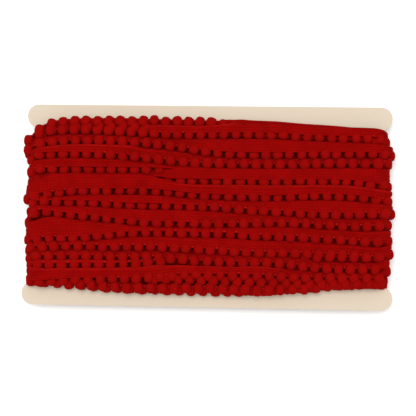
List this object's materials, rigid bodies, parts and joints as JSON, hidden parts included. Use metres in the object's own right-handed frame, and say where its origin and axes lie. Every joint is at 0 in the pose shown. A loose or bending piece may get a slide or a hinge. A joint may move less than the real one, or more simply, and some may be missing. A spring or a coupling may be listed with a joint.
{
  "type": "pom pom trim wound on a card",
  "caption": "Red mini pom pom trim wound round a cream waisted card in slightly crossing rows, lying flat with its front up.",
  "frame": {"origin": "middle of the footprint, on the floor that the wound back rests on", "axes": "+X runs along the rows of trim to the right of the front, +Y up the front from its bottom edge to its top edge, +Z out of the front, away from the floor"},
  "size_m": [0.2, 0.11, 0.0202],
  "materials": {
    "card_board": "uncoated cream board with a soft grain",
    "trim_red": "matt, velvety cut pile with a finely ribbed woven heading"
  },
  "bodies": {
    "root": {"card": "card_board", "wound_trim": "trim_red"}
  },
  "joints": []
}
